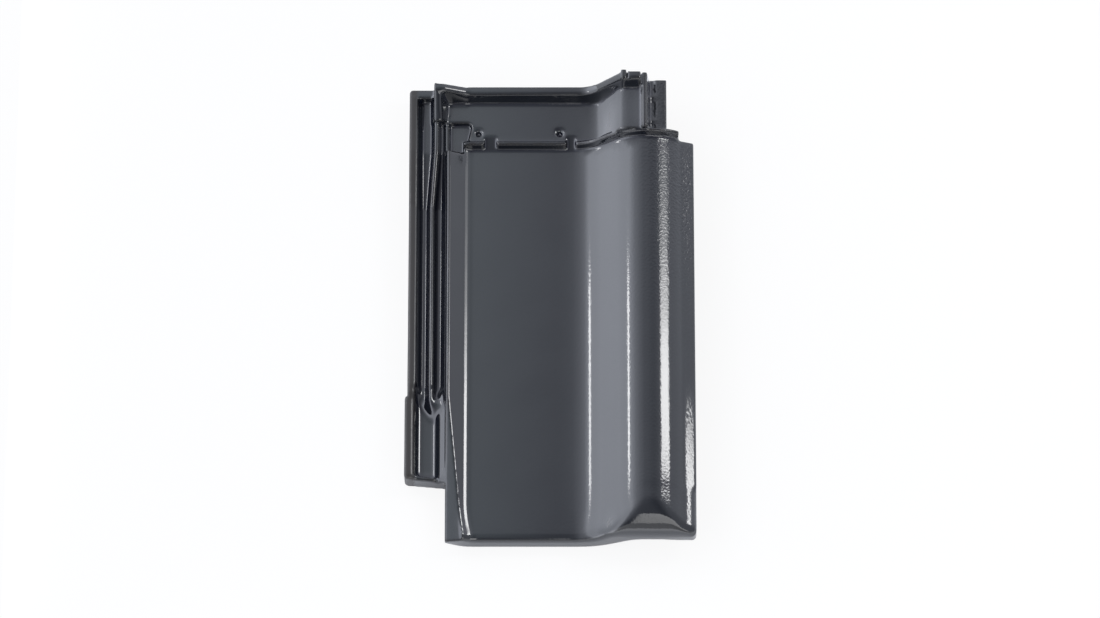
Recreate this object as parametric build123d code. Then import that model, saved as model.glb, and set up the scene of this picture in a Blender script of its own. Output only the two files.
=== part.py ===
# A glazed clay roof tile: one fired piece with a pan, one roll, a side lock and a head lock.
# X runs across the tile, Y up the slope, Z away from the roof. All lengths in millimetres.
# Heights are written from the top of the pan, and the finished tile is stood on its base last.
import os
from math import atan2, cos, radians, sin, tan
from build123d import *

# Lengths up the slope
cover_length = 399.0
nose_length = 40.0
bead_foot_width = 9.0
trough_length = 36.2
rim_slope_run = 6.3
rim_top_width = 7.5
flange_reach = 2.0

# Widths of the covering part, from the left ridge to the right edge
ridge_land = 1.6
flank_run = 18.5
pan_width = 99.4
shoulder_radius = 45.5
strip_run = 12.6

# Heights over the pan
ridge_height = 13.5
ridge_side = 4.0
roll_height = 38.0
strip_inner_height = 24.5
strip_edge_height = 18.0
nose_height = 15.0
nose_fall_run = 31.0
nose_flank_shift = 7.0
nose_round = 5.5
nose_steps = 4
corner_round = 5.0

# Clay thickness and the front lip
clay = 12.5
strip_clay = 10.5
strip_setback = 5.5
lip_depth = 19.0
lip_width = 6.0
lip_root_share = 0.55
lip_ridge_depth = 7.0
lip_roll_height = 4.5
lip_strip_height = 2.5
lip_edge_height = 1.5

# Angles and roundings
roll_angle = 45.7
shoulder_angle = 42.0
roll_foot_round = 45.0
roll_round = 44.0
room_share = 0.98
ridge_round = 1.4
flank_round = 16.0
strip_round = 8.0
least_round = 1.0

# Side lock at the left
tab_overhang = 2.5
outer_rib_land = 7.5
outer_wall_run = 5.0
outer_floor_width = 6.0
middle_wall_run = 2.0
middle_rib_land = 3.5
inner_wall_run = 2.8
inner_floor_width = 6.0
ridge_wall_run = 3.7
lock_floor_depth = 3.0
outer_rib_height = 8.0
middle_rib_height = 6.0
lock_round = 3.6
lock_edge_round = 2.2
head_rib_shift = 4.0
head_rib_extra = 4.0
head_rib_height = 13.0
head_rib_land = 7.0
rib_shift_start = 338.0
lock_start = 123.0
lock_end_rise = 22.0
lock_end_lean_share = 1.2
lock_end_wall = 7.0
lock_end_slope = 2.0
lock_corner_round = 3.0
dam_height = 3.0
dam_start = 12.0
dam_slant = 14.0
lock_lap = 12.0
root_lap = 3.5
head_channel_floor = 2.0

# Tab at the lower end of the lock
tab_start = 57.5
tab_floor_depth = 5.0
tab_rim_height = 6.0
tab_rim_land = 8.5
tab_rim_slope = 4.0
tab_wall_slope = 5.0
tab_wall_land = 4.5
tab_wall_height = 4.0
tab_round = 4.0
tab_corner_round = 4.0
tab_slant = 4.0
tab_lap = 6.0
tab_lip_width = 5.0
tab_lip_height = 8.0
facet_width = 16.3
facet_length = 171.0
facet_fall_share = 0.2

# Head: plateau, neck of the roll, side rib and flange
plateau_height = 6.0
pocket_length = 21.0
pocket_lap = 5.0
pocket_round = 4.0
flank_end_run = 10.0
flank_end_foot = 9.5
pocket_ridge_height = 8.0
neck_height = 47.0
neck_angle = 62.0
neck_foot_inset = 8.5
neck_crest_width = 19.0
neck_round = 13.0
side_rib_land = 4.5
side_rib_height = 5.0
side_rib_slope = 1.6
groove_depth = 17.0
groove_slope = 2.5
groove_width = 4.5
flange_step = 1.5
flange_width = 10.5
bridge_length = 4.0
first_bridge = 12.0
second_bridge = 36.5
head_edge_round = 1.2

# Rim and bead across the head
rim_height = 12.0
rim_corner_height = 29.0
rim_corner_inset = 4.0
rim_neck_shift = 1.4
rim_round = 26.0
rim_edge_round = 4.0
rim_stud_width = 5.0
rim_stud_depth = 6.0
rim_notch_width = 1.5
rim_notch_depth = 4.0
bead_height = 8.0
bead_land = 2.4
bead_slope = 3.0
bead_round = 1.6
bead_root = 3.0
bead_lap = 4.0
bead_stop_gap = 4.0
first_drain_width = 12.5
second_drain_width = 9.0
drain_length = 12.0
drain_sill = 0.6
first_drain = 16.0
second_drain = 96.0

# Underside: nibs, batten, ribs of the cover lock
batten_width = 40.0
nib_width = 30.0
nib_length = 13.0
nib_taper = 2.0
nib_round = 2.0
nail_start = 10.5
nail_spacing = 79.0
nail_inset = 10.5
nail_radius = 2.5
nail_sink_radius = 4.2
nail_depth = 5.5
lock_gap = 1.5
lock_clearance = 1.0
cover_rib_width = 6.0
cover_rib_slope = 1.5

# Sinks of one form into the next and overruns of cuts
sink = 1.0
overrun = 5.0

# Places across the tile
cover_left = 0.0
flank_foot = ridge_land + flank_run
roll_foot = flank_foot + pan_width
roll_turn = tan(radians(roll_angle / 2))
roll_low = roll_foot + roll_foot_round * roll_turn
roll_high = roll_low + roll_height / tan(radians(roll_angle))
crest = roll_high + roll_round * roll_turn
shoulder = crest + shoulder_radius * tan(radians(shoulder_angle / 2))
strip_inner = shoulder + (roll_height - strip_inner_height) / tan(radians(shoulder_angle))
strip_edge = strip_inner + strip_run
inner_floor_right = cover_left - ridge_wall_run
inner_floor_left = inner_floor_right - inner_floor_width
middle_right = inner_floor_left - inner_wall_run
middle_left = middle_right - middle_rib_land
outer_floor_right = middle_left - middle_wall_run
outer_floor_left = outer_floor_right - outer_floor_width
outer_rib_side = outer_floor_left - outer_wall_run
lock_left = outer_rib_side - outer_rib_land
tab_left = lock_left - tab_overhang
lock_head_rib = middle_right


def rounded_edges(spots, rounds):
    """Edges of an open line through the spots, each inner corner rounded by its radius."""
    ways = [(b - a).normalized() for a, b in zip(spots, spots[1:])]
    lengths = [(b - a).length for a, b in zip(spots, spots[1:])]
    halves = [radians(a.get_angle(b)) / 2 for a, b in zip(ways, ways[1:])]
    reaches = [radius * tan(half) for radius, half in zip(rounds, halves)]
    # A rounding stops short of the next one where the wall between them is too small
    ends = [0.0] + reaches + [0.0]
    crowds = [max(1.0, (a + b) / (room_share * span)) for span, a, b in zip(lengths, ends, ends[1:])]
    reaches = [reach / max(a, b) for reach, a, b in zip(reaches, crowds, crowds[1:])]
    edges = []
    start = spots[0]
    for spot, way_in, way_out, half, reach in zip(spots[1:], ways, ways[1:], halves, reaches):
        first = spot - way_in * reach
        last = spot + way_out * reach
        depth = reach * tan(half / 2)
        middle = spot + (way_out - way_in).normalized() * depth
        edges.append(Line(start, first))
        edges.append(ThreePointArc(first, middle, last))
        start = last
    edges.append(Line(start, spots[-1]))
    return edges


def lowered(points, rounds, depth):
    """The same line a clay thickness lower: valleys widen, crests tighten."""
    slopes = [(b[1] - a[1]) / (b[0] - a[0]) for a, b in zip(points, points[1:])]
    starts = [a[1] - m * a[0] - depth * (1 + m * m) ** 0.5 for a, m in zip(points, slopes)]
    lines = list(zip(slopes, starts))
    spots = [(points[0][0], slopes[0] * points[0][0] + starts[0])]
    radii = []
    for (m, c), (n, d), radius in zip(lines, lines[1:], rounds):
        x = (d - c) / (m - n)
        spots.append((x, m * x + c))
        radii.append(radius + depth if n > m else max(radius - depth, least_round))
    spots.append((points[-1][0], slopes[-1] * points[-1][0] + starts[-1]))
    return spots, radii


def section(top, under, y):
    """Closed face between a top line and an underside line, both running left to right."""
    edges = []
    for points, rounds in (top, under):
        edges += rounded_edges([Vector(x, y, z) for x, z in points], rounds)
    left = Line((under[0][0][0], y, under[0][0][1]), (top[0][0][0], y, top[0][0][1]))
    right = Line((under[0][-1][0], y, under[0][-1][1]), (top[0][-1][0], y, top[0][-1][1]))
    return make_face(edges + [left, right])


def along(face, length):
    """Push a section face up the slope."""
    return extrude(face, length, dir=(0, 1, 0))


def box(x0, x1, y0, y1, z0, z1):
    """Plain block between two corners."""
    return Pos((x0 + x1) / 2, (y0 + y1) / 2, (z0 + z1) / 2) * Box(x1 - x0, y1 - y0, z1 - z0)


def between(first, last, share):
    """Mix of two lists of numbers or points of the same length."""
    return [(1 - share) * a + share * b for a, b in zip(first, last)]


def plan(points, rounds, low, high):
    """Block standing on an outline in plan, with the corners between its ends rounded."""
    spots = [Vector(x, y, low) for x, y in points]
    outline = make_face(rounded_edges(spots, rounds) + [Line(spots[-1], spots[0])])
    return extrude(outline, high - low, dir=(0, 0, 1))


# Places up the slope
bead_y = cover_length
plateau_y = bead_y + bead_foot_width / 2
seat_y = plateau_y + sink
nib_y = seat_y + batten_width
rim_foot_y = bead_y + bead_foot_width + trough_length
rim_y = rim_foot_y + rim_slope_run
rim_end_y = rim_y + rim_top_width
head_y = rim_end_y + flange_reach

# Cover section: ridge, flank, pan, roll, shoulder and strip
roll_rounds = [flank_round, roll_foot_round, roll_round, shoulder_radius, strip_round]
wave = [
    (cover_left + ridge_land, ridge_height),
    (flank_foot, 0),
    (roll_low, 0),
    (roll_high, roll_height),
    (shoulder, roll_height),
    (strip_inner, strip_inner_height),
    (strip_edge, strip_edge_height),
]
ridge_start = (cover_left, ridge_height - ridge_side)
cover_top = ([ridge_start] + wave, [ridge_round] + roll_rounds)
under_wave, under_rounds = lowered(wave, roll_rounds, clay)
under_wave[0] = (cover_left, under_wave[0][1] + (wave[0][0] - cover_left) * ridge_height / flank_run)
under_wave[-1] = (strip_edge, strip_edge_height - strip_clay)
cover_under = (under_wave, under_rounds)
cover = along(section(cover_top, cover_under, nose_length), seat_y - nose_length)

# Nose: the flank foot moves over, and the underside falls to the lip that hangs below the pan
lip_heights = [-lip_ridge_depth, -lip_depth, -lip_depth, lip_roll_height, lip_roll_height]
lip_heights += [lip_strip_height, lip_edge_height]
lip_line = [(x, z) for (x, old), z in zip(under_wave, lip_heights)]


def nose_section(y, drop):
    """Section of the nose, lowered by the rounding of its front edge."""
    share = y / nose_length
    line = [(x, z - drop) for x, z in cover_top[0]]
    foot_x, foot_z = line[2]
    line[2] = (foot_x + nose_flank_shift * (1 - share) ** 2, foot_z)
    under = [between(a, b, share) for a, b in zip(lip_line, under_wave)]
    return section((line, cover_top[1]), (under, under_rounds), y)


nose_turns = [radians(90 * step / nose_steps) for step in range(nose_steps)]
nose_faces = [nose_section(nose_round * (1 - cos(turn)), nose_round * (1 - sin(turn))) for turn in nose_turns]
for step in range(nose_steps + 1):
    nose_faces.append(nose_section(nose_round + (nose_length - nose_round) * step / nose_steps, 0))
nose = loft(nose_faces, ruled=True)
front_heights = [ridge_height, 0, 0, nose_height, nose_height, nose_height, strip_edge_height]
lip_root = [(x, z + lip_root_share * (top - z)) for (x, z), top in zip(lip_line, front_heights)]
lip = along(section((lip_root, under_rounds), (lip_line, under_rounds), 0), lip_width)

# The roll falls to the front in one round bow, level where it leaves the crest
nose_drop = roll_height - nose_height
nose_bow_radius = (nose_fall_run ** 2 + nose_drop ** 2) / (2 * nose_drop)
half_bow = atan2(nose_drop, nose_fall_run)
bow_middle = (
    nose_fall_run - nose_bow_radius * sin(half_bow),
    roll_height - nose_bow_radius * (1 - cos(half_bow)),
)
bow_points = [
    (nose_fall_run, roll_height),
    (nose_fall_run, roll_height + overrun),
    (-overrun, roll_height + overrun),
    (-overrun, nose_height),
    (0, nose_height),
]
bow_line = Polyline([(flank_foot, y, z) for y, z in bow_points])
bow = ThreePointArc(*[(flank_foot, y, z) for y, z in (bow_points[-1], bow_middle, bow_points[0])])
nose_fall = extrude(make_face(bow_line.edges() + [bow]), strip_edge + overrun - flank_foot, dir=(1, 0, 0))

# Head section: plateau, neck of the roll, side rib, groove and flange
neck_foot = roll_low + neck_foot_inset
neck_top = neck_foot + (neck_height - plateau_height) / tan(radians(neck_angle))
neck_end = neck_top + neck_crest_width
rib_start = neck_end + side_rib_slope
rib_end = rib_start + side_rib_land
groove_start = rib_end + groove_slope
groove_end = groove_start + groove_width
flange_start = groove_end + side_rib_slope
flange_end = flange_start + flange_width
rib_top = neck_height + side_rib_height
groove_floor = neck_height - groove_depth
flange_top = groove_floor + flange_step
head_start = [
    (cover_left, plateau_height),
    (neck_foot, plateau_height),
    (neck_top, neck_height),
]
head_line = head_start + [
    (neck_end, neck_height),
    (rib_start, rib_top),
    (rib_end, rib_top),
    (groove_start, groove_floor),
    (groove_end, groove_floor),
    (flange_start, flange_top),
    (flange_end, flange_top),
]
head_rounds = [neck_round, neck_round] + [head_edge_round] * 6
plain_head = head_start + [
    (rib_start, neck_height),
    (groove_end, groove_floor),
    (flange_end, groove_floor),
]
under_head, under_head_rounds = lowered(plain_head, [neck_round] * 4, clay)
seat_height = plateau_height - clay
head_face = section((head_line, head_rounds), (under_head, under_head_rounds), plateau_y)
pocket_end = plateau_y + pocket_length
pocket_side = flank_foot + pocket_lap
pocket_plan = [
    (-overrun, plateau_y - overrun),
    (flank_foot, plateau_y - overrun),
    (flank_foot, plateau_y),
    (pocket_side, pocket_end),
    (-overrun, pocket_end),
]
pocket_space = plan(pocket_plan, [least_round, least_round, pocket_round], -lip_depth, rim_corner_height)
ledge_space = box(-overrun, neck_end, rim_end_y, head_y + overrun, -lip_depth, neck_height + overrun)
head = along(head_face, head_y - plateau_y) - pocket_space - ledge_space

# Pocket beside the plateau: a level floor above the end of the flank
pocket_line = [(cover_left, 0), (pocket_side + sink, 0)]
pocket_under = [(cover_left, seat_height), (pocket_side + sink, seat_height)]
pocket_start = seat_y - flank_end_run - sink
pocket_face = section((pocket_line, []), (pocket_under, []), pocket_start)
pocket = along(pocket_face, pocket_end + sink - pocket_start)
flank_end_points = [
    (seat_y - flank_end_foot, 0),
    (seat_y - flank_end_run, ridge_height + overrun),
    (seat_y + overrun, ridge_height + overrun),
    (seat_y + overrun, 0),
]
flank_end_face = make_face(Polyline([(cover_left - sink, y, z) for y, z in flank_end_points], close=True))
cover -= extrude(flank_end_face, flank_foot - bead_lap + sink, dir=(1, 0, 0))

# Bead swept over the wave at the upper end of the cover, with two drains through it
bead_start = (flank_foot - bead_lap, 0)
bead_stop = (strip_inner - bead_stop_gap, strip_inner_height + bead_stop_gap * tan(radians(shoulder_angle)))
bead_path = rounded_edges(
    [Vector(x, bead_y, z) for x, z in [bead_start] + wave[2:5] + [bead_stop]],
    [roll_foot_round, roll_round, shoulder_radius],
)
bead_top_y = bead_y + bead_slope
bead_points = [
    Vector(bead_start[0], bead_y - bead_slope * bead_root / bead_height, -bead_root),
    Vector(bead_start[0], bead_top_y, bead_height),
    Vector(bead_start[0], bead_top_y + bead_land, bead_height),
    Vector(bead_start[0], bead_y + bead_foot_width, -bead_root),
]
bead_face = make_face(rounded_edges(bead_points, [bead_round] * 2) + [Line(bead_points[-1], bead_points[0])])
bead = sweep(bead_face, path=Wire(bead_path))
drain_points = [
    (bead_y, drain_sill),
    (bead_y + drain_length, plateau_height),
    (bead_y + drain_length, rim_corner_height),
    (bead_y, rim_corner_height),
]
drain_face = make_face(Polyline([(0, y, z) for y, z in drain_points], close=True))
drains = [
    Pos(flank_foot + place, 0, 0) * extrude(drain_face, width, dir=(1, 0, 0))
    for place, width in ((first_drain, first_drain_width), (second_drain, second_drain_width))
]

# Rim across the head: a sloping inner wall and a flat top, higher at the left corner
half_neck = tan(radians(neck_angle / 2))
rim_top = plateau_height + rim_height
rim_line = [
    (lock_head_rib, rim_corner_height),
    (cover_left - rim_corner_inset, rim_corner_height),
    (flank_foot, rim_top),
    (neck_foot - rim_height * half_neck, rim_top),
    (neck_top + rim_neck_shift, neck_height + rim_height),
    (neck_end, neck_height + rim_height),
]
rim_foot_line = [
    (lock_head_rib, plateau_height - 3 * sink),
    (cover_left - rim_corner_inset, plateau_height - 2 * sink),
    (flank_foot, plateau_height - sink),
    (neck_foot + sink, plateau_height - sink),
    (neck_top + sink, neck_height - sink),
    (neck_end, neck_height - sink),
]
rim_rounds = [neck_round, neck_round, rim_round, rim_edge_round]
rim_under = [
    (lock_head_rib, seat_height + sink),
    (neck_foot + clay, seat_height + sink),
    (neck_end, neck_height - clay),
]
rim_low = section((rim_foot_line, rim_rounds), (rim_under, [neck_round]), rim_foot_y)
rim_high = section((rim_line, rim_rounds), (rim_under, [neck_round]), rim_y)
rim = loft([rim_low, rim_high], ruled=True) + along(rim_high, rim_top_width)
rim_crest = neck_height + rim_height
stud_start = neck_top
stud_end = stud_start + rim_stud_width
rim += box(stud_start, stud_end, rim_y, head_y, rim_crest - rim_stud_depth, rim_crest)
rim -= box(
    stud_end, stud_end + rim_notch_width, rim_y, head_y + overrun, rim_crest - rim_notch_depth,
    rim_crest + overrun,
)


def lock_section(y, shift, lift, floor, bottom, ridge, lap):
    """Side lock from the outer rib over two channels and the middle rib to the ridge."""
    line = [
        (lock_left, outer_rib_height + lift),
        (outer_rib_side, outer_rib_height + lift),
        (outer_floor_left, floor),
        (outer_floor_right + shift, floor),
        (middle_left + shift, middle_rib_height + lift),
        (middle_right + shift, middle_rib_height + lift),
        (inner_floor_left + shift, floor),
        (inner_floor_right, floor),
        (cover_left + ridge_land / 2, ridge - sink / 2),
        (cover_left + lap, -sink),
    ]
    rounds = [lock_edge_round, lock_round, lock_round, lock_edge_round, lock_edge_round]
    rounds += [lock_round, lock_round, ridge_round]
    return section((line, rounds), ([(lock_left, bottom), (cover_left + lap, bottom)], []), y)


# Side lock: straight below, then the middle rib moves over and the floor rises to the head
low_lock = lock_section(lock_start, 0, 0, -lock_floor_depth, -clay, ridge_height, lock_lap)
turn_lock = lock_section(rib_shift_start, 0, 0, -lock_floor_depth, -clay, ridge_height, lock_lap)
high_y = seat_y - flank_end_run
high_form = (head_rib_shift, head_rib_extra, head_channel_floor, seat_height)
high_lock = lock_section(high_y, *high_form, ridge_height, lock_lap)
pocket_lock = lock_section(high_y, *high_form, pocket_ridge_height, root_lap)
lock = along(low_lock, rib_shift_start - lock_start)
lock += loft([turn_lock, high_lock], ruled=True)
lock += along(pocket_lock, pocket_end + sink - high_y)


def head_lock_section(y, rib_height):
    """Side lock beside the plateau, where the inner channel has ended in one thick rib."""
    line = [
        (lock_left, outer_rib_height + head_rib_extra),
        (outer_rib_side, outer_rib_height + head_rib_extra),
        (outer_floor_left, head_channel_floor),
        (lock_head_rib - middle_wall_run, head_channel_floor),
        (lock_head_rib, rib_height),
        (lock_head_rib + head_rib_land, rib_height),
        (cover_left + sink, plateau_height - sink),
        (cover_left + root_lap, plateau_height - 2 * sink),
    ]
    rounds = [lock_edge_round, lock_round, lock_round, lock_edge_round, lock_edge_round, least_round]
    return section((line, rounds), ([(lock_left, seat_height), (cover_left + root_lap, seat_height)], []), y)


head_lock = loft(
    [head_lock_section(pocket_end, head_rib_height), head_lock_section(rim_y, rim_corner_height - sink)],
    ruled=True,
)
end_wall_plan = [
    (lock_head_rib + sink, rim_y - lock_end_slope),
    (lock_left, rim_y - lock_end_slope),
    (lock_left, rim_y + lock_end_wall),
    (lock_head_rib + sink, rim_y + lock_end_wall),
]
end_wall_top = outer_rib_height + head_rib_extra - sink
end_wall = plan(end_wall_plan, [least_round, lock_corner_round], seat_height, end_wall_top)
lock += head_lock + end_wall

# A low dam closes the inner channel, and the lock ends in a leaning, slanting face above the tab
dam_plan = [
    (cover_left + sink, lock_start),
    (cover_left + sink, lock_start + dam_start),
    (middle_left, lock_start + dam_start + dam_slant),
    (middle_left, lock_start),
]
lock += plan(dam_plan, [least_round, least_round], -clay, dam_height)
end_points = [
    (outer_rib_side, tab_start),
    (cover_left + lock_lap + overrun, tab_start),
    (cover_left + lock_lap + overrun, lock_start),
    (middle_right, lock_start),
    (outer_rib_side, lock_start + lock_end_rise),
]
end_face = make_face(Polyline([(x, y, -tab_floor_depth) for x, y in end_points], close=True))
lock -= extrude(end_face, tab_floor_depth + rim_corner_height, dir=(0, lock_end_lean_share, 1))
lock -= box(
    lock_left - overrun, outer_rib_side, tab_start, lock_start + lock_end_rise, -tab_floor_depth,
    rim_corner_height,
)

# Tab: a tray with a raised rim at the left, below the end of the lock
tab_floor_left = tab_left + tab_rim_land + tab_rim_slope
tab_floor_right = cover_left - tab_wall_land - tab_wall_slope
tab_line = [
    (tab_left, tab_rim_height),
    (tab_left + tab_rim_land, tab_rim_height),
    (tab_floor_left, -tab_floor_depth),
    (tab_floor_right, -tab_floor_depth),
    (cover_left - tab_wall_land, tab_wall_height),
    (cover_left + root_lap, tab_wall_height - sink),
]
tab_under = [(tab_left, -lip_depth), (cover_left + root_lap, -lip_depth)]
tab_rounds = [lock_edge_round, tab_round, tab_round, lock_edge_round]
tab_face = section((tab_line, tab_rounds), (tab_under, []), tab_start)
tab_end = lock_start + lock_end_rise - sink
tab_plan = [
    (cover_left + root_lap, tab_start),
    (tab_left, tab_start + tab_slant),
    (tab_left, tab_end),
    (lock_left + sink, tab_end),
    (lock_left + sink, tab_end + tab_lap),
    (cover_left + root_lap, tab_end + tab_lap),
]
tab_plan_rounds = [tab_corner_round, tab_corner_round, least_round, least_round]
tab = along(tab_face, tab_end + tab_lap - tab_start)
tab_lip_plan = [
    (tab_floor_right + sink, tab_start),
    (tab_left + sink, tab_start),
    (tab_left + sink, tab_start + tab_slant + tab_lip_width),
    (tab_floor_right + sink, tab_start + tab_lip_width),
]
tab += plan(tab_lip_plan, [least_round, least_round], -lip_depth, tab_lip_height - tab_floor_depth)
tab &= plan(tab_plan, tab_plan_rounds, -lip_depth, roll_height)

# Facet on the flank, widening from the lock down to the front corner
flank_fall = ridge_height / flank_run
crease_height = ridge_height - (facet_width - ridge_land) * flank_fall
edge_rise = ridge_height + ridge_land * flank_fall
facet_left = crease_height - (facet_width + overrun) * facet_fall_share
facet_points = [
    (facet_width, crease_height),
    (facet_width, roll_height),
    (-overrun, roll_height),
    (-overrun, facet_left),
]
facet_face = make_face(Polyline([(x, 0, z) for x, z in facet_points], close=True))
crease = Vector(-facet_width, facet_length, edge_rise - crease_height)
facet = extrude(facet_face, crease.length, dir=crease)

# Two hanging nibs below the rim and two blind nail holes over the batten
pan_middle = flank_foot + pan_width / 2
nail_y = plateau_y + nail_inset
places = [flank_foot + nail_start, flank_foot + nail_start + nail_spacing]


nib_half = nib_width / 2
nib_points = [
    Vector(-nib_half, nib_y, seat_height + sink),
    Vector(nib_taper - nib_half, nib_y, -lip_depth),
    Vector(nib_half - nib_taper, nib_y, -lip_depth),
    Vector(nib_half, nib_y, seat_height + sink),
]
nib_outline = rounded_edges(nib_points, [nib_round] * 2) + [Line(nib_points[-1], nib_points[0])]
nib = along(make_face(nib_outline), nib_length)
nail_profile = [
    (0, plateau_height + overrun),
    (nail_sink_radius + overrun, plateau_height + overrun),
    (nail_radius, plateau_height + nail_radius - nail_sink_radius),
    (nail_radius, plateau_height - nail_depth),
    (0, plateau_height - nail_depth),
]
nail_hole = revolve(make_face(Polyline([(x, 0, z) for x, z in nail_profile], close=True)), Axis.Z)

# Ribs below the right edge that dip into the two channels of the next tile
pitch = strip_edge + lock_gap
rib_foot = lock_clearance - lock_floor_depth
rib_places = [
    pitch + (outer_floor_left + outer_floor_right) / 2,
    pitch + (inner_floor_left + inner_floor_right) / 2,
]
rib_roots = [strip_edge_height, strip_edge_height / 2]


def cover_rib(x, root):
    """Downward rib with sloping sides and a rounded foot."""
    wide = cover_rib_width / 2
    narrow = wide - cover_rib_slope
    spots = [(x - wide, root), (x - narrow, rib_foot), (x + narrow, rib_foot), (x + wide, root)]
    spots = [Vector(a, nose_length, b) for a, b in spots]
    face = make_face(rounded_edges(spots, [lock_edge_round] * 2) + [Line(spots[-1], spots[0])])
    return along(face, rib_shift_start - nose_length)


# The front right corner is round in plan
corner_x = strip_edge - corner_round
corner_plan = [
    (corner_x, -overrun),
    (strip_edge + overrun, -overrun),
    (strip_edge + overrun, corner_round),
    (strip_edge, corner_round),
]
corner_bow = ThreePointArc(
    (strip_edge, corner_round, -lip_depth),
    (corner_x + corner_round * sin(radians(45)), corner_round * (1 - sin(radians(45))), -lip_depth),
    (corner_x, 0, -lip_depth),
)
corner_line = Polyline([(x, y, -lip_depth) for x, y in corner_plan])
corner_foot = Line((corner_x, 0, -lip_depth), (corner_x, -overrun, -lip_depth))
corner_face = make_face(corner_line.edges() + [corner_bow, corner_foot])
corner = extrude(corner_face, lip_depth + roll_height, dir=(0, 0, 1))

tile = cover + nose + lip + head + pocket + rim + lock + bead + tab
for place in places:
    tile += Pos(place, 0, 0) * nib
for place, root in zip(rib_places, rib_roots):
    tile += cover_rib(place, root)
for place in (first_bridge, second_bridge):
    start_y = plateau_y + place
    tile += box(rib_end, flange_start + sink, start_y, start_y + bridge_length, groove_floor - sink, flange_top)
tile -= nose_fall
tile -= facet
tile -= corner
tile -= box(
    strip_inner - bead_stop_gap / 2, strip_edge + overrun, seat_y - strip_setback, seat_y + overrun,
    -lip_depth, roll_height,
)
for cut in drains:
    tile -= cut
for place in places:
    tile -= Pos(place, nail_y, 0) * nail_hole

# Stand the tile on its base, centred on the origin
span = tile.bounding_box()
tile = Pos(-span.center().X, -span.center().Y, -span.min.Z) * tile
print("volume", tile.volume, len(tile.solids()), tile.is_valid, tile.bounding_box())
os.makedirs("parts", exist_ok=True)
export_step(tile, "parts/roof_tile.step")
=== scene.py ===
# A glazed clay roof tile on a pale studio floor, seen from above its front edge.
import math

import bmesh
import bpy
import numpy as np
from mathutils import Matrix, Vector, kdtree


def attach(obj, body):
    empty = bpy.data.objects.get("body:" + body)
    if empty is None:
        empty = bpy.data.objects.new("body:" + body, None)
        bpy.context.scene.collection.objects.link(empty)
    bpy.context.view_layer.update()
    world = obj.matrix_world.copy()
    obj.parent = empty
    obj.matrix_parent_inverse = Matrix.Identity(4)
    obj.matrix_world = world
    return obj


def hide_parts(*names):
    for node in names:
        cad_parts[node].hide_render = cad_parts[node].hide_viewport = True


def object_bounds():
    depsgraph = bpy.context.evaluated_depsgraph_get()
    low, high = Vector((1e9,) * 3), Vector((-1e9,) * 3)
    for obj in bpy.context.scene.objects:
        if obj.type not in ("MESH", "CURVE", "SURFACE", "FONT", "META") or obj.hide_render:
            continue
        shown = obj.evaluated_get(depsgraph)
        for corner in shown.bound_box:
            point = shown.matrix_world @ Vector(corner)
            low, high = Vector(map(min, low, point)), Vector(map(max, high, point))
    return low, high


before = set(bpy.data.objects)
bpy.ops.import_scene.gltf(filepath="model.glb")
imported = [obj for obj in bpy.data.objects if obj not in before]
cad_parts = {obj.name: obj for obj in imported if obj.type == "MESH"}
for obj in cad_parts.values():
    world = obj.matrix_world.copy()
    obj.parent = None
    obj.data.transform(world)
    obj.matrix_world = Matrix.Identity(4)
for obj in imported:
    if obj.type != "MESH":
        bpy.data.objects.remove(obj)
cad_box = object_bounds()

# Body of the tile: sizes in metres, and how often values are averaged with their neighbours
weld_gap = 0.00002
clay_grain = 0.0008
edge_factor = 0.5
edge_passes = 10
normal_passes = 5
bulge_reach_passes = 24
bulge_passes = 3
cover_passes = 12
near_points = 10
face_limit = 190000
face_slack = 2000
thin_rounds = 3
wave_count = 28
wave_lengths = (0.035, 0.130)
wave_height = 0.00003
fired_seed = 11

# Limits between which a mark of the glaze rises from none to full
upper_facing = (-0.2, 0.2)
thin_bulge = (0.00018, 0.00042)
pooled_hollow = (0.000075, 0.00030)
covered_facing = (-0.75, -0.35)

# Regions rounded further by the glaze: low corner, high corner, fade at the border, passes
soft_regions = {
    "nose": ((0.030, -0.240), (0.160, -0.178), 0.012, 90),
    "tab and lock end": ((-0.1375, -0.185), (-0.0985, -0.074), 0.005, 45),
    "groove beside the neck": ((0.092, 0.172), (0.114, 0.226), 0.004, 24),
    "flank of the neck": ((0.032, 0.174), (0.086, 0.214), 0.006, 80),
    "left corner of the rim": ((-0.112, 0.200), (-0.078, 0.233), 0.004, 24),
    "left nail dimple": ((-0.0775, 0.176), (-0.0615, 0.192), 0.003, 40),
    "right nail dimple": ((0.0015, 0.176), (0.0175, 0.192), 0.003, 40),
}

# Flanks whose glaze runs over the bends: low corner, high corner, fade at the border, passes,
# share of the sideways slope that the glaze keeps, lean towards the head, steepest end slope taken in
glaze_flanks = {
    "roll": ((0.008, -0.222), (0.090, 0.180), (0.014, 0.030), 700, 0.92, 0.0, 0.16),
    "neck": ((0.028, 0.160), (0.090, 0.222), (0.008, 0.008), 500, 0.54, 0.0, 0.45),
    "right edge": ((0.127, -0.300), (0.147, -0.065), (0.003, 0.060), 0, 0.80, 0.06, 0.45),
}

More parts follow.
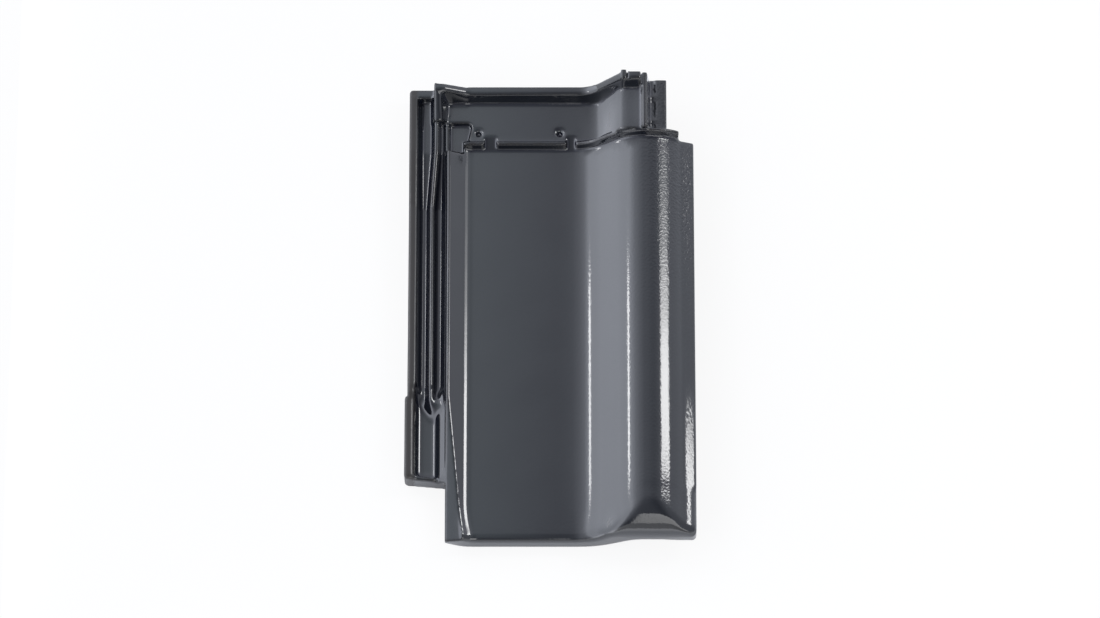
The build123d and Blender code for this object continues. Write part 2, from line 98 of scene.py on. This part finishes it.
# Camera and studio, in metres and degrees
camera_tilt = 20.0
camera_distance = 5.59
camera_lens = 190.0
camera_aim = (0.0, 0.0042, 0.02)
floor_half = 4.0
sensor_width = 36.0
floor_white_share = 0.88
floor_grey = 0.86
world_tint = (0.86, 0.90, 1.0)
front_to_back = (
    (-1.0, 0.05), (-0.85, 0.06), (-0.60, 0.26), (0.05, 0.26), (0.22, 0.30),
    (0.31, 0.55), (0.37, 0.70), (0.45, 0.80), (1.0, 0.84),
)
left_to_right = (
    (-1.0, 1.5), (-0.90, 2.1), (-0.64, 2.1), (-0.50, 0.95), (-0.36, 0.55), (-0.18, 0.23),
    (0.0, 0.13), (0.12, 0.02), (0.25, 0.0), (0.6, 0.35), (1.0, 0.35),
)

# Row of lamps on the right, from its front end uphill: length and glow of each
up_the_slope = (0, 1, 0)
right_start = 0.235
right_fall = ((0.185, 9.0), (0.05, 6.0), (0.05, 3.2), (0.05, 1.8), (0.05, 1.2), (0.10, 0.8))
right_x = 0.919
right_z = 1.006
right_aim = (0.11, 0.0, 0.055)
right_height = 0.467

# Panels in front: left end, width and glow of each
across_the_slope = (1, 0, 0)
front_panels = ((0.0, 0.045, 0.4), (0.045, 0.045, 1.1), (0.09, 1.155, 1.8))
front_y = -1.643
front_z = 1.146
front_aim_y = -0.215
front_aim_z = 0.05
front_height = 1.13

# Single lamps: place, point it faces, length, height, glow, way its length runs
left_strip = ((-0.80, 0.3415, 0.87), (0.05, 0.0, 0.04), 0.271, 0.09, 8.5, up_the_slope)
left_card = ((-0.52, 0.20, 0.02), (0.05, 0.20, 0.02), 1.0, 0.04, 1.0, up_the_slope)
front_card = ((0.05, -0.45, 0.065), (0.05, 0.0, 0.065), 1.0, 0.13, 0.6, across_the_slope)

# Colours of the glaze and the clay, as linear shares of red, green and blue
glaze_dark = (0.0030, 0.0044, 0.0082, 1)
glaze_light = (0.0050, 0.0068, 0.0105, 1)
# Painted sheen: a lighter glaze colour that stands in for brighter reflected light on the level pan towards
# the left
glaze_painted_sheen = (0.0220, 0.0270, 0.0300, 1)
glaze_pooled = (0.0020, 0.0034, 0.0110, 1)
glaze_edge = (0.012, 0.011, 0.011, 1)
glaze_rib = (0.030, 0.027, 0.025, 1)
clay_dark = (0.155, 0.066, 0.043, 1)
clay_light = (0.235, 0.112, 0.072, 1)
white = (1, 1, 1, 1)
peel_depth = 0.00009
glaze_index = 1.52
coat_index = 1.5
coat_roughness = 0.04


def linked(name, data):
    """New object of this data in the scene, at the origin."""
    thing = bpy.data.objects.new(name, data)
    bpy.context.scene.collection.objects.link(thing)
    return thing


def evaluated_mesh(thing):
    """Plain mesh of an object with its modifiers carried out."""
    graph = bpy.context.evaluated_depsgraph_get()
    return bpy.data.meshes.new_from_object(thing.evaluated_get(graph)).copy()


def pressed_body(node):
    """Dense closed copy of the pressed tile, its edges softened as by firing."""
    mesh = node.data.copy()
    weld = bmesh.new()
    weld.from_mesh(mesh)
    bmesh.ops.remove_doubles(weld, verts=weld.verts, dist=weld_gap)
    weld.to_mesh(mesh)
    weld.free()
    body = linked("pressed_body", mesh)
    grain = body.modifiers.new("grain", "REMESH")
    grain.mode = "VOXEL"
    grain.voxel_size = clay_grain
    soft = body.modifiers.new("soft", "SMOOTH")
    soft.factor = edge_factor
    soft.iterations = edge_passes
    dense = evaluated_mesh(body)
    bpy.data.objects.remove(body)
    return dense


def points_of(mesh):
    """Vertex places as rows of three."""
    places = np.empty(len(mesh.vertices) * 3)
    mesh.vertices.foreach_get("co", places)
    return places.reshape(-1, 3)


def normals_of(mesh):
    """Vertex normals as rows of three."""
    normals = np.empty(len(mesh.vertices) * 3, dtype=np.float32)
    mesh.vertex_normals.foreach_get("vector", normals)
    return normals.reshape(-1, 3).astype(float)


def edges_of(mesh):
    """Vertex pairs of the edges."""
    pairs = np.empty(len(mesh.edges) * 2, dtype=np.int32)
    mesh.edges.foreach_get("vertices", pairs)
    return pairs.reshape(-1, 2)


def relaxed(values, pairs, passes):
    """Values spread over the surface by averaging with their neighbours."""
    first, last = pairs[:, 0], pairs[:, 1]
    count = len(values)
    ties = np.bincount(first, minlength=count) + np.bincount(last, minlength=count)
    for turn in range(passes):
        spread = np.empty_like(values)
        for axis in range(values.shape[1]):
            column = values[:, axis]
            total = np.bincount(first, weights=column[last], minlength=count)
            total += np.bincount(last, weights=column[first], minlength=count)
            spread[:, axis] = np.where(ties > 0, total / np.maximum(ties, 1), column)
        values = (values + spread) / 2
    return values


def eased(places, pairs, chosen, passes):
    """Places with one region rounded further: its points average with their neighbours."""
    spots = np.flatnonzero(chosen > 0)
    order = np.full(len(places), -1)
    order[spots] = np.arange(len(spots))
    inside = pairs[np.all(order[pairs] >= 0, axis=1)]
    rounded = relaxed(places[spots], order[inside], passes)
    places = places.copy()
    places[spots] += (rounded - places[spots]) * chosen[spots, None]
    return places


def region(places, low, high, fade):
    """Share of each point inside a box in X and Y, fading out at its border."""
    share = np.ones(len(places))
    for axis, border in enumerate(np.broadcast_to(fade, 2)):
        share *= mask(places[:, axis], low[axis], low[axis] + border)
        share *= mask(-places[:, axis], -high[axis], border - high[axis])
    return share


def firing_waves(places):
    """Slight waviness of the fired surface: a few long waves in seeded directions."""
    draw = np.random.default_rng(fired_seed)
    height = np.zeros(len(places))
    for wave in range(wave_count):
        way = draw.normal(size=3)
        way /= np.linalg.norm(way)
        length = draw.uniform(*wave_lengths)
        start = draw.uniform(0, 2 * math.pi)
        height += np.sin(places @ way * 2 * math.pi / length + start)
    return height * wave_height / math.sqrt(wave_count)


def mask(values, low, high):
    """Smooth step of values between two limits."""
    share = np.clip((values - low) / (high - low), 0, 1)
    return share * share * (3 - 2 * share)


def triangle_count(mesh):
    """Number of triangles that the faces make."""
    mesh.calc_loop_triangles()
    return len(mesh.loop_triangles)


def thinned(mesh):
    """Mesh thinned towards the number of triangles that one piece may have."""
    body = linked("roof_tile_body", mesh)
    thin = body.modifiers.new("thin", "DECIMATE")
    thin.ratio = face_limit / triangle_count(mesh)
    bpy.context.view_layer.update()
    thin_mesh = evaluated_mesh(body)
    bpy.data.objects.remove(body)
    return thin_mesh


def glazed_tile(node):
    """Finished tile: softened body, slightly wavy, with the glaze's thin and pooled places marked."""
    dense = pressed_body(node)
    pairs = edges_of(dense)
    places = points_of(dense)
    upper = mask(normals_of(dense)[:, 2], *upper_facing)
    for low, high, fade, passes in soft_regions.values():
        places = eased(places, pairs, region(places, low, high, fade) * upper, passes)
    dense.vertices.foreach_set("co", places.ravel())
    dense.update()
    normals = normals_of(dense)
    inner = relaxed(places, pairs, bulge_reach_passes)
    bulge = np.sum((places - inner) * normals, axis=1, keepdims=True)
    bulge = relaxed(bulge, pairs, bulge_passes)[:, 0]
    broad = relaxed(normals, pairs, cover_passes)
    places += normals * firing_waves(places)[:, None]
    places = np.clip(places, np.array(cad_box[0]), np.array(cad_box[1]))
    dense.vertices.foreach_set("co", places.ravel())
    dense.update()
    normals = relaxed(normals_of(dense), pairs, normal_passes)
    for low, high, fade, passes, kept, lean, steepest in glaze_flanks.values():
        along_roll = upper * mask(-np.abs(normals[:, 1]), -steepest, -steepest / 2)
        share = region(places, low, high, fade) * along_roll
        normals = eased(normals, pairs, share, passes)
        normals[:, 0] *= 1 - (1 - kept) * share
        normals[:, 1] += lean * share
    normals /= np.linalg.norm(normals, axis=1, keepdims=True)

    tile_mesh = dense
    for turn in range(thin_rounds):
        if triangle_count(tile_mesh) > face_limit + face_slack:
            tile_mesh = thinned(tile_mesh)

    # The thinned mesh takes its normals and marks from the dense points around each of its own
    tree = kdtree.KDTree(len(places))
    for index, place in enumerate(places):
        tree.insert(place, index)
    tree.balance()
    found = [tree.find_n(vertex.co, near_points) for vertex in tile_mesh.vertices]
    near = np.array([[index for place, index, gap in row] for row in found])
    gaps = np.array([[gap for place, index, gap in row] for row in found])
    shares = np.exp(-(gaps / clay_grain) ** 2)
    shares /= shares.sum(axis=1, keepdims=True)
    blended = np.sum(normals[near] * shares[:, :, None], axis=1)
    blended /= np.linalg.norm(blended, axis=1, keepdims=True)
    marks = {
        "thin_glaze": mask(bulge, *thin_bulge),
        "pooled_glaze": mask(-bulge, *pooled_hollow),
        "glaze_cover": mask(broad[:, 2], *covered_facing),
    }
    for name, values in marks.items():
        attribute = tile_mesh.attributes.new(name, "FLOAT", "POINT")
        attribute.data.foreach_set("value", np.sum(values[near] * shares, axis=1).astype(np.float32))
    tile_mesh.polygons.foreach_set("use_smooth", np.ones(len(tile_mesh.polygons), dtype=bool))
    tile_mesh.normals_split_custom_set_from_vertices(blended.tolist())
    return linked("roof_tile_fired", tile_mesh)


class Sheet:
    """Short ways to place and join the nodes of one material."""

    def __init__(self, name):
        self.material = bpy.data.materials.new(name)
        self.material.use_nodes = True
        self.tree = self.material.node_tree
        self.tree.nodes.clear()

    def node(self, kind, label):
        """New node of this kind."""
        made = self.tree.nodes.new(kind)
        made.label = label
        return made

    def feed(self, socket, value):
        """Value or link into a socket."""
        if isinstance(value, bpy.types.NodeSocket):
            self.tree.links.new(value, socket)
        else:
            socket.default_value = value

    def blend(self, label, share, first, last):
        """Colour mixed from first to last by share."""
        made = self.node("ShaderNodeMix", label)
        made.data_type = "RGBA"
        self.feed(made.inputs[0], share)
        self.feed(made.inputs[6], first)
        self.feed(made.inputs[7], last)
        return made.outputs[2]

    def span(self, label, value, low, high, first, last):
        """Number carried from one range to another."""
        made = self.node("ShaderNodeMapRange", label)
        made.clamp = True
        for socket, number in zip(made.inputs[:5], (value, low, high, first, last)):
            self.feed(socket, number)
        return made.outputs[0]

    def maths(self, label, operation, first, last):
        """Sum, product or other step on two numbers."""
        made = self.node("ShaderNodeMath", label)
        made.operation = operation
        self.feed(made.inputs[0], first)
        self.feed(made.inputs[1], last)
        return made.outputs[0]

    def noise(self, label, place, scale, detail, roughness=0.5):
        """Cloudy pattern on object coordinates."""
        made = self.node("ShaderNodeTexNoise", label)
        self.feed(made.inputs["Vector"], place)
        made.inputs["Scale"].default_value = scale
        made.inputs["Detail"].default_value = detail
        made.inputs["Roughness"].default_value = roughness
        return made.outputs["Fac"]

    def mark(self, name):
        """Number kept on the piece's own surface."""
        made = self.node("ShaderNodeAttribute", name)
        made.attribute_name = name
        return made.outputs["Fac"]


def anthracite_glaze_on_clay():
    """Glossy anthracite glaze, a little brownish where it is thin, over red-brown clay bare below."""
    sheet = Sheet("anthracite_glaze_on_clay")
    place = sheet.node("ShaderNodeTexCoord", "place").outputs["Object"]
    across = sheet.node("ShaderNodeSeparateXYZ", "across the tile")
    sheet.feed(across.inputs["Vector"], place)
    stretched = sheet.node("ShaderNodeMapping", "down the slope")
    sheet.feed(stretched.inputs["Vector"], place)
    stretched.inputs["Scale"].default_value = (1.0, 0.12, 1.0)

    cloud = sheet.noise("cloud in the glaze", place, 26.0, 4.0, 0.55)
    runs = sheet.noise("runs down the slope", stretched.outputs["Vector"], 140.0, 3.0, 0.5)
    peel = sheet.noise("orange peel", place, 440.0, 2.0, 0.5)
    grit = sheet.noise("clay grit", place, 1500.0, 4.0, 0.65)
    earth = sheet.noise("firing flame marks", place, 18.0, 5.0, 0.6)

    bare = sheet.span("outer rib", across.outputs["X"], -0.1275, -0.1310, 0.0, 1.0)
    facing = sheet.node("ShaderNodeSeparateXYZ", "facing")
    sheet.feed(facing.inputs["Vector"], sheet.node("ShaderNodeNewGeometry", "surface").outputs["Normal"])
    level = sheet.span("level places", facing.outputs["Z"], 0.90, 0.99, 0.0, 1.0)
    # Painted sheen: level, upward-facing places get a lighter glaze colour towards the left, in place of a
    # brighter reflection there
    lit = sheet.span("painted sheen across the pan", across.outputs["X"], -0.075, 0.005, 1.0, 0.0)
    lit = sheet.maths("painted sheen on level places", "MULTIPLY", lit, level)
    thin = sheet.mark("thin_glaze")
    pooled = sheet.mark("pooled_glaze")
    cover = sheet.mark("glaze_cover")

    ragged = sheet.span("ragged glaze line", runs, 0.3, 0.7, -0.25, 0.25)
    cover = sheet.maths("glaze line", "ADD", cover, ragged)
    cover = sheet.span("glaze laid", cover, 0.35, 0.65, 0.0, 1.0)
    worn = sheet.span("broken edge", runs, 0.35, 0.65, 0.3, 1.0)
    worn = sheet.maths("thin places", "MULTIPLY", thin, worn)

    tone = sheet.span("tone", cloud, 0.35, 0.65, 0.0, 1.0)
    glaze = sheet.blend("anthracite", tone, glaze_dark, glaze_light)
    glaze = sheet.blend("painted sheen to the left", lit, glaze, glaze_painted_sheen)
    glaze = sheet.blend("pooled", pooled, glaze, glaze_pooled)
    glaze = sheet.blend("thin on edges", worn, glaze, glaze_edge)
    glaze = sheet.blend("thin on the outer rib", bare, glaze, glaze_rib)
    clay_tone = sheet.span("clay tone", earth, 0.3, 0.7, 0.0, 1.0)
    clay = sheet.blend("fired clay", clay_tone, clay_dark, clay_light)
    colour = sheet.blend("glaze over clay", cover, clay, glaze)

    shine = sheet.span("glaze shine", runs, 0.3, 0.7, 0.08, 0.13)
    shine = sheet.maths("duller outer rib", "ADD", shine, sheet.maths("dulling", "MULTIPLY", bare, 0.22))
    shine = sheet.maths("duller edges", "ADD", shine, sheet.maths("edge dulling", "MULTIPLY", worn, 0.12))
    coat = sheet.maths("coat", "MULTIPLY", cover, sheet.span("coat left", bare, 0.0, 1.0, 1.0, 0.25))
    coat = sheet.maths("coat on edges", "MULTIPLY", coat, sheet.span("thin coat", worn, 0.0, 1.0, 1.0, 0.30))
    dull = sheet.span("clay dullness", grit, 0.3, 0.7, 0.78, 0.95)
    roughness = sheet.node("ShaderNodeMix", "shine over clay")
    sheet.feed(roughness.inputs[0], cover)
    sheet.feed(roughness.inputs[2], dull)
    sheet.feed(roughness.inputs[3], shine)

    dimple = sheet.span("stronger to the right", across.outputs["X"], -0.10, 0.11, 0.14, 0.65)
    uphill = sheet.span("stronger uphill", across.outputs["Y"], -0.02, 0.13, 0.0, 2.4)
    shoulder = sheet.span("on the right shoulder", across.outputs["X"], 0.085, 0.105, 0.0, 1.0)
    rough = sheet.maths("rough shoulder", "MULTIPLY", uphill, shoulder)
    dimple = sheet.maths("dimples", "ADD", dimple, rough)
    peel = sheet.maths("peel height", "MULTIPLY", peel, dimple)
    relief = sheet.node("ShaderNodeMix", "relief")
    sheet.feed(relief.inputs[0], cover)
    sheet.feed(relief.inputs[2], grit)
    sheet.feed(relief.inputs[3], peel)
    bump = sheet.node("ShaderNodeBump", "surface")
    bump.inputs["Strength"].default_value = 1.0
    bump.inputs["Distance"].default_value = peel_depth
    sheet.feed(bump.inputs["Height"], relief.outputs[0])

    skin = sheet.node("ShaderNodeBsdfPrincipled", "glazed clay")
    sheet.feed(skin.inputs["Base Color"], colour)
    sheet.feed(skin.inputs["Roughness"], roughness.outputs[0])
    sheet.feed(skin.inputs["Normal"], bump.outputs["Normal"])
    sheet.feed(skin.inputs["Coat Weight"], coat)
    sheet.feed(skin.inputs["Coat Normal"], bump.outputs["Normal"])
    skin.inputs["IOR"].default_value = glaze_index
    skin.inputs["Coat Roughness"].default_value = coat_roughness
    skin.inputs["Coat IOR"].default_value = coat_index
    out = sheet.node("ShaderNodeOutputMaterial", "out")
    sheet.feed(out.inputs["Surface"], skin.outputs["BSDF"])
    return sheet.material


def white_floor():
    """Pale floor that keeps the shadow and reads as white."""
    sheet = Sheet("white_floor")
    path = sheet.node("ShaderNodeLightPath", "path")
    share = sheet.maths("white share", "MULTIPLY", path.outputs["Is Camera Ray"], floor_white_share)
    paper = sheet.node("ShaderNodeBsdfDiffuse", "paper")
    paper.inputs["Color"].default_value = (floor_grey, floor_grey, floor_grey, 1)
    glow = sheet.node("ShaderNodeEmission", "white")
    glow.inputs["Color"].default_value = white
    glow.inputs["Strength"].default_value = 1.0
    mix = sheet.node("ShaderNodeMixShader", "floor")
    sheet.feed(mix.inputs[0], share)
    sheet.feed(mix.inputs[1], paper.outputs["BSDF"])
    sheet.feed(mix.inputs[2], glow.outputs["Emission"])
    out = sheet.node("ShaderNodeOutputMaterial", "out")
    sheet.feed(out.inputs["Surface"], mix.outputs["Shader"])
    return sheet.material


def softbox(name, place, target, length, height, glow, along):
    """Area lamp of one brightness: its length runs along one way, and it leans to face a point."""
    lamp = bpy.data.lights.new(name, "AREA")
    lamp.shape = "RECTANGLE"
    lamp.size = length
    lamp.size_y = height
    lamp.energy = glow * math.pi * length * height
    holder = linked(name, lamp)
    along = Vector(along)
    back = Vector(place) - Vector(target)
    back = (back - along * back.dot(along)).normalized()
    turn = Matrix((along, back.cross(along), back)).transposed()
    holder.matrix_world = Matrix.Translation(place) @ turn.to_4x4()
    holder.visible_camera = False


def studio_world():
    """Soft light all round: one fall of light from front to back and one from left to right."""
    world = bpy.data.worlds.new("studio")
    world.use_nodes = True
    tree = world.node_tree
    tree.nodes.clear()
    place = tree.nodes.new("ShaderNodeTexCoord")
    parts = tree.nodes.new("ShaderNodeSeparateXYZ")
    tree.links.new(place.outputs["Generated"], parts.inputs["Vector"])
    both = tree.nodes.new("ShaderNodeAddShader")
    for order, (axis, stops) in enumerate((("Y", front_to_back), ("X", left_to_right))):
        depth = tree.nodes.new("ShaderNodeMapRange")
        depth.inputs["From Min"].default_value = -1.0
        depth.inputs["From Max"].default_value = 1.0
        ramp = tree.nodes.new("ShaderNodeValToRGB")
        marks = ramp.color_ramp.elements
        while len(marks) < len(stops):
            marks.new(1.0)
        brightest = max(glow for spot, glow in stops)
        for mark, (spot, glow) in zip(marks, stops):
            mark.position = (spot + 1) / 2
            mark.color = [tint * glow / brightest for tint in world_tint] + [1]
        light = tree.nodes.new("ShaderNodeBackground")
        light.inputs["Strength"].default_value = brightest
        tree.links.new(parts.outputs[axis], depth.inputs["Value"])
        tree.links.new(depth.outputs["Result"], ramp.inputs["Fac"])
        tree.links.new(ramp.outputs["Color"], light.inputs["Color"])
        tree.links.new(light.outputs["Background"], both.inputs[order])
    path = tree.nodes.new("ShaderNodeLightPath")
    backdrop = tree.nodes.new("ShaderNodeBackground")
    backdrop.inputs["Color"].default_value = white
    backdrop.inputs["Strength"].default_value = 1.0
    seen = tree.nodes.new("ShaderNodeMixShader")
    tree.links.new(path.outputs["Is Camera Ray"], seen.inputs[0])
    tree.links.new(both.outputs["Shader"], seen.inputs[1])
    tree.links.new(backdrop.outputs["Background"], seen.inputs[2])
    out = tree.nodes.new("ShaderNodeOutputWorld")
    tree.links.new(seen.outputs["Shader"], out.inputs["Surface"])
    return world


def studio():
    """Floor, soft world light, softboxes and the camera."""
    half = floor_half
    corners = [(-half, -half, 0), (half, -half, 0), (half, half, 0), (-half, half, 0)]
    sheet = bpy.data.meshes.new("floor")
    sheet.from_pydata(corners, [], [(0, 1, 2, 3)])
    sheet.materials.append(white_floor())
    floor = linked("floor", sheet)

    scene = bpy.context.scene
    scene.view_settings.view_transform = "Standard"
    scene.world = studio_world()
    lamp_end = right_start
    for length, glow in right_fall:
        place = (right_x, lamp_end + length / 2, right_z)
        softbox("right_softbox", place, right_aim, length, right_height, glow, up_the_slope)
        lamp_end += length
    softbox("left_strip", *left_strip)
    softbox("left_card", *left_card)
    for left, width, glow in front_panels:
        middle = left + width / 2
        place = (middle, front_y, front_z)
        aim = (middle, front_aim_y, front_aim_z)
        softbox("front_panel", place, aim, width, front_height, glow, across_the_slope)
    softbox("front_card", *front_card)

    camera = bpy.data.cameras.new("camera")
    camera.sensor_width = sensor_width
    camera.lens = camera_lens
    holder = linked("camera", camera)
    tilt = math.radians(camera_tilt)
    away = Vector((0, -math.sin(tilt), math.cos(tilt)))
    holder.location = Vector(camera_aim) + away * camera_distance
    holder.rotation_euler = (tilt, 0, 0)
    scene.camera = holder


tile = glazed_tile(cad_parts["roof_tile"])
tile.data.materials.clear()
tile.data.materials.append(anthracite_glaze_on_clay())
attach(tile, "root")
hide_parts("roof_tile")
studio()
